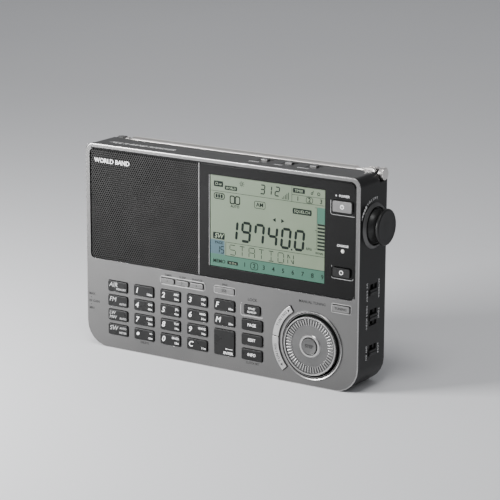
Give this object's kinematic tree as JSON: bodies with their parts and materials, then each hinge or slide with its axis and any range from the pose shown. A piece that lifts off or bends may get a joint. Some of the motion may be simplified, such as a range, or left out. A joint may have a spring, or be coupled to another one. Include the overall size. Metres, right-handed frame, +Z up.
{
  "type": "portable shortwave receiver",
  "caption": "Slim portable world-band radio with keypad, large display, tuning dial, side volume knob, folding stand and telescopic aerial.",
  "frame": {"origin": "middle of the case's flat underside", "axes": "+X to the listener's right along the case's width, +Y from the front face to the back, +Z up"},
  "size_m": [0.2144, 0.0389, 0.1365],
  "materials": {
    "silver_panel": "silver-grey metallic paint on moulded plastic, satin, with a bright bevelled rim",
    "case_black": "black moulded plastic, fine satin texture",
    "grille_metal": "charcoal perforated metal sheet",
    "window_gloss": "glossy black-backed acrylic",
    "lcd_glass": "grey-green liquid crystal display with a teal lower strip",
    "key_black": "charcoal moulded key caps, white printed figures",
    "key_silver": "light silver painted key caps",
    "dial_silver": "silver painted, with bright rims and moulded ridges",
    "knob_black": "satin black moulded plastic",
    "aerial_chrome": "polished nickel-chrome plated brass tube",
    "key_rubber": "grey silicone rubber sheet",
    "circuit_board": "green glass-fibre board",
    "speaker_black": "black steel basket and paper cone",
    "ferrite": "dark grey sintered ferrite with its winding"
  },
  "bodies": {
    "case": {"front_panel": "silver_panel", "speaker_grille": "grille_metal", "display_window": "window_gloss", "lcd_panel": "lcd_glass", "rear_case": "case_black", "key_mat": "key_rubber", "key_board": "circuit_board", "main_board": "circuit_board", "speaker": "speaker_black", "ferrite_antenna": "ferrite"},
    "key_sw": {"key_sw": "key_black"},
    "key_lw_mw": {"key_lw_mw": "key_black"},
    "key_fm": {"key_fm": "key_black"},
    "key_air": {"key_air": "key_black"},
    "key_dot": {"key_dot": "key_black"},
    "key_7": {"key_7": "key_black"},
    "key_4": {"key_4": "key_black"},
    "key_1": {"key_1": "key_black"},
    "key_0": {"key_0": "key_black"},
    "key_8": {"key_8": "key_black"},
    "key_5": {"key_5": "key_black"},
    "key_2": {"key_2": "key_black"},
    "key_c": {"key_c": "key_black"},
    "key_9": {"key_9": "key_black"},
    "key_6": {"key_6": "key_black"},
    "key_3": {"key_3": "key_black"},
    "key_f": {"key_f": "key_black"},
    "key_m": {"key_m": "key_black"},
    "key_enter": {"key_enter": "key_black"},
    "key_scan": {"key_scan": "key_black"},
    "key_page": {"key_page": "key_black"},
    "key_edit": {"key_edit": "key_black"},
    "key_info": {"key_info": "key_black"},
    "key_timer_1": {"key_timer_1": "key_silver"},
    "key_timer_2": {"key_timer_2": "key_silver"},
    "key_timer_3": {"key_timer_3": "key_silver"},
    "key_ssb": {"key_ssb": "key_silver"},
    "key_tune_mode": {"key_tune_mode": "key_silver"},
    "key_power": {"key_power": "key_silver"},
    "key_light": {"key_light": "key_black"},
    "tune_up_key": {"tune_up_key": "dial_silver"},
    "tune_down_key": {"tune_down_key": "dial_silver"},
    "tuning_dial": {"tuning_dial": "dial_silver"},
    "step_button": {"step_button": "dial_silver"},
    "top_key_1": {"top_key_1": "dial_silver"},
    "top_key_2": {"top_key_2": "dial_silver"},
    "top_key_3": {"top_key_3": "dial_silver"},
    "slide_switch_1": {"slide_switch_1": "knob_black"},
    "slide_switch_2": {"slide_switch_2": "knob_black"},
    "slide_switch_3": {"slide_switch_3": "knob_black"},
    "volume_knob": {"volume_knob": "knob_black"},
    "gain_wheel": {"gain_wheel": "knob_black"},
    "battery_door": {"battery_door": "case_black"},
    "tilt_stand": {"tilt_stand": "case_black"},
    "antenna_swivel": {"antenna_swivel": "aerial_chrome"},
    "antenna_base": {"antenna_base": "aerial_chrome"},
    "antenna_section_1": {"antenna_section_1": "aerial_chrome"},
    "antenna_section_2": {"antenna_section_2": "aerial_chrome"},
    "antenna_section_3": {"antenna_section_3": "aerial_chrome"},
    "antenna_section_4": {"antenna_section_4": "aerial_chrome"}
  },
  "joints": [
    {"name": "antenna_swing", "type": "hinge", "parent": "case", "child": "antenna_swivel", "pos_m": [0.0918, 0.0106, 0.1325], "axis": [1, 0, 0], "range_deg": [-90, 35]},
    {"name": "antenna_tilt", "type": "hinge", "parent": "antenna_swivel", "child": "antenna_base", "pos_m": [0.0918, 0.0106, 0.1325], "axis": [0, 1, 0], "range_deg": [0, 90]},
    {"name": "antenna_slide_1", "type": "slide", "parent": "antenna_base", "child": "antenna_section_1", "axis": [-1, 0, 0], "range_m": [0, 0.148]},
    {"name": "antenna_slide_2", "type": "slide", "parent": "antenna_section_1", "child": "antenna_section_2", "axis": [-1, 0, 0], "range_m": [0, 0.148]},
    {"name": "antenna_slide_3", "type": "slide", "parent": "antenna_section_2", "child": "antenna_section_3", "axis": [-1, 0, 0], "range_m": [0, 0.148]},
    {"name": "antenna_slide_4", "type": "slide", "parent": "antenna_section_3", "child": "antenna_section_4", "axis": [-1, 0, 0], "range_m": [0, 0.148]},
    {"name": "door_hinge", "type": "hinge", "parent": "case", "child": "battery_door", "pos_m": [-0.046, 0.018, 0.01], "axis": [-1, 0, 0], "range_deg": [0, 100]},
    {"name": "stand_hinge", "type": "hinge", "parent": "case", "child": "tilt_stand", "pos_m": [0.041, 0.0169, 0.0719], "axis": [1, 0, 0], "range_deg": [0, 55]},
    {"name": "dial_turn", "type": "hinge", "parent": "case", "child": "tuning_dial", "pos_m": [0.0692, -0.018, 0.0262], "axis": [0, 1, 0], "continuous": true},
    {"name": "step_press", "type": "slide", "parent": "case", "child": "step_button", "axis": [0, 1, 0], "range_m": [0, 0.0008], "stiffness_N_per_m": 400},
    {"name": "volume_turn", "type": "hinge", "parent": "case", "child": "volume_knob", "pos_m": [0.102, 0.0002, 0.1025], "axis": [1, 0, 0], "range_deg": [-150, 150]},
    {"name": "gain_turn", "type": "hinge", "parent": "case", "child": "gain_wheel", "pos_m": [-0.0934, 0, 0.0305], "axis": [0, 1, 0], "range_deg": [-135, 135]},
    {"name": "switch_1_slide", "type": "slide", "parent": "case", "child": "slide_switch_1", "axis": [0, 0, 1], "range_m": [0, 0.003]},
    {"name": "switch_2_slide", "type": "slide", "parent": "case", "child": "slide_switch_2", "axis": [0, 0, 1], "range_m": [-0.003, 0.003]},
    {"name": "switch_3_slide", "type": "slide", "parent": "case", "child": "slide_switch_3", "axis": [0, 0, 1], "range_m": [0, 0.003]},
    {"name": "tune_up_key_press", "type": "slide", "parent": "case", "child": "tune_up_key", "axis": [0, 1, 0], "range_m": [0, 0.001], "stiffness_N_per_m": 400},
    {"name": "tune_down_key_press", "type": "slide", "parent": "case", "child": "tune_down_key", "axis": [0, 1, 0], "range_m": [0, 0.001], "stiffness_N_per_m": 400},
    {"name": "top_key_1_press", "type": "slide", "parent": "case", "child": "top_key_1", "axis": [0, 0, -1], "range_m": [0, 0.0008], "stiffness_N_per_m": 400},
    {"name": "top_key_2_press", "type": "slide", "parent": "case", "child": "top_key_2", "axis": [0, 0, -1], "range_m": [0, 0.0008], "stiffness_N_per_m": 400},
    {"name": "top_key_3_press", "type": "slide", "parent": "case", "child": "top_key_3", "axis": [0, 0, -1], "range_m": [0, 0.0008], "stiffness_N_per_m": 400},
    {"name": "key_sw_press", "type": "slide", "parent": "case", "child": "key_sw", "axis": [0, 1, 0], "range_m": [0, 0.001], "stiffness_N_per_m": 400},
    {"name": "key_lw_mw_press", "type": "slide", "parent": "case", "child": "key_lw_mw", "axis": [0, 1, 0], "range_m": [0, 0.001], "stiffness_N_per_m": 400},
    {"name": "key_fm_press", "type": "slide", "parent": "case", "child": "key_fm", "axis": [0, 1, 0], "range_m": [0, 0.001], "stiffness_N_per_m": 400},
    {"name": "key_air_press", "type": "slide", "parent": "case", "child": "key_air", "axis": [0, 1, 0], "range_m": [0, 0.001], "stiffness_N_per_m": 400},
    {"name": "key_dot_press", "type": "slide", "parent": "case", "child": "key_dot", "axis": [0, 1, 0], "range_m": [0, 0.001], "stiffness_N_per_m": 400},
    {"name": "key_7_press", "type": "slide", "parent": "case", "child": "key_7", "axis": [0, 1, 0], "range_m": [0, 0.001], "stiffness_N_per_m": 400},
    {"name": "key_4_press", "type": "slide", "parent": "case", "child": "key_4", "axis": [0, 1, 0], "range_m": [0, 0.001], "stiffness_N_per_m": 400},
    {"name": "key_1_press", "type": "slide", "parent": "case", "child": "key_1", "axis": [0, 1, 0], "range_m": [0, 0.001], "stiffness_N_per_m": 400},
    {"name": "key_0_press", "type": "slide", "parent": "case", "child": "key_0", "axis": [0, 1, 0], "range_m": [0, 0.001], "stiffness_N_per_m": 400},
    {"name": "key_8_press", "type": "slide", "parent": "case", "child": "key_8", "axis": [0, 1, 0], "range_m": [0, 0.001], "stiffness_N_per_m": 400},
    {"name": "key_5_press", "type": "slide", "parent": "case", "child": "key_5", "axis": [0, 1, 0], "range_m": [0, 0.001], "stiffness_N_per_m": 400},
    {"name": "key_2_press", "type": "slide", "parent": "case", "child": "key_2", "axis": [0, 1, 0], "range_m": [0, 0.001], "stiffness_N_per_m": 400},
    {"name": "key_c_press", "type": "slide", "parent": "case", "child": "key_c", "axis": [0, 1, 0], "range_m": [0, 0.001], "stiffness_N_per_m": 400},
    {"name": "key_9_press", "type": "slide", "parent": "case", "child": "key_9", "axis": [0, 1, 0], "range_m": [0, 0.001], "stiffness_N_per_m": 400},
    {"name": "key_6_press", "type": "slide", "parent": "case", "child": "key_6", "axis": [0, 1, 0], "range_m": [0, 0.001], "stiffness_N_per_m": 400},
    {"name": "key_3_press", "type": "slide", "parent": "case", "child": "key_3", "axis": [0, 1, 0], "range_m": [0, 0.001], "stiffness_N_per_m": 400},
    {"name": "key_f_press", "type": "slide", "parent": "case", "child": "key_f", "axis": [0, 1, 0], "range_m": [0, 0.001], "stiffness_N_per_m": 400},
    {"name": "key_m_press", "type": "slide", "parent": "case", "child": "key_m", "axis": [0, 1, 0], "range_m": [0, 0.001], "stiffness_N_per_m": 400},
    {"name": "key_enter_press", "type": "slide", "parent": "case", "child": "key_enter", "axis": [0, 1, 0], "range_m": [0, 0.001], "stiffness_N_per_m": 400},
    {"name": "key_scan_press", "type": "slide", "parent": "case", "child": "key_scan", "axis": [0, 1, 0], "range_m": [0, 0.001], "stiffness_N_per_m": 400},
    {"name": "key_page_press", "type": "slide", "parent": "case", "child": "key_page", "axis": [0, 1, 0], "range_m": [0, 0.001], "stiffness_N_per_m": 400},
    {"name": "key_edit_press", "type": "slide", "parent": "case", "child": "key_edit", "axis": [0, 1, 0], "range_m": [0, 0.001], "stiffness_N_per_m": 400},
    {"name": "key_info_press", "type": "slide", "parent": "case", "child": "key_info", "axis": [0, 1, 0], "range_m": [0, 0.001], "stiffness_N_per_m": 400},
    {"name": "key_timer_1_press", "type": "slide", "parent": "case", "child": "key_timer_1", "axis": [0, 1, 0], "range_m": [0, 0.001], "stiffness_N_per_m": 400},
    {"name": "key_timer_2_press", "type": "slide", "parent": "case", "child": "key_timer_2", "axis": [0, 1, 0], "range_m": [0, 0.001], "stiffness_N_per_m": 400},
    {"name": "key_timer_3_press", "type": "slide", "parent": "case", "child": "key_timer_3", "axis": [0, 1, 0], "range_m": [0, 0.001], "stiffness_N_per_m": 400},
    {"name": "key_ssb_press", "type": "slide", "parent": "case", "child": "key_ssb", "axis": [0, 1, 0], "range_m": [0, 0.001], "stiffness_N_per_m": 400},
    {"name": "key_tune_mode_press", "type": "slide", "parent": "case", "child": "key_tune_mode", "axis": [0, 1, 0], "range_m": [0, 0.001], "stiffness_N_per_m": 400},
    {"name": "key_power_press", "type": "slide", "parent": "case", "child": "key_power", "axis": [0, 1, 0], "range_m": [0, 0.001], "stiffness_N_per_m": 400},
    {"name": "key_light_press", "type": "slide", "parent": "case", "child": "key_light", "axis": [0, 1, 0], "range_m": [0, 0.001], "stiffness_N_per_m": 400}
  ]
}
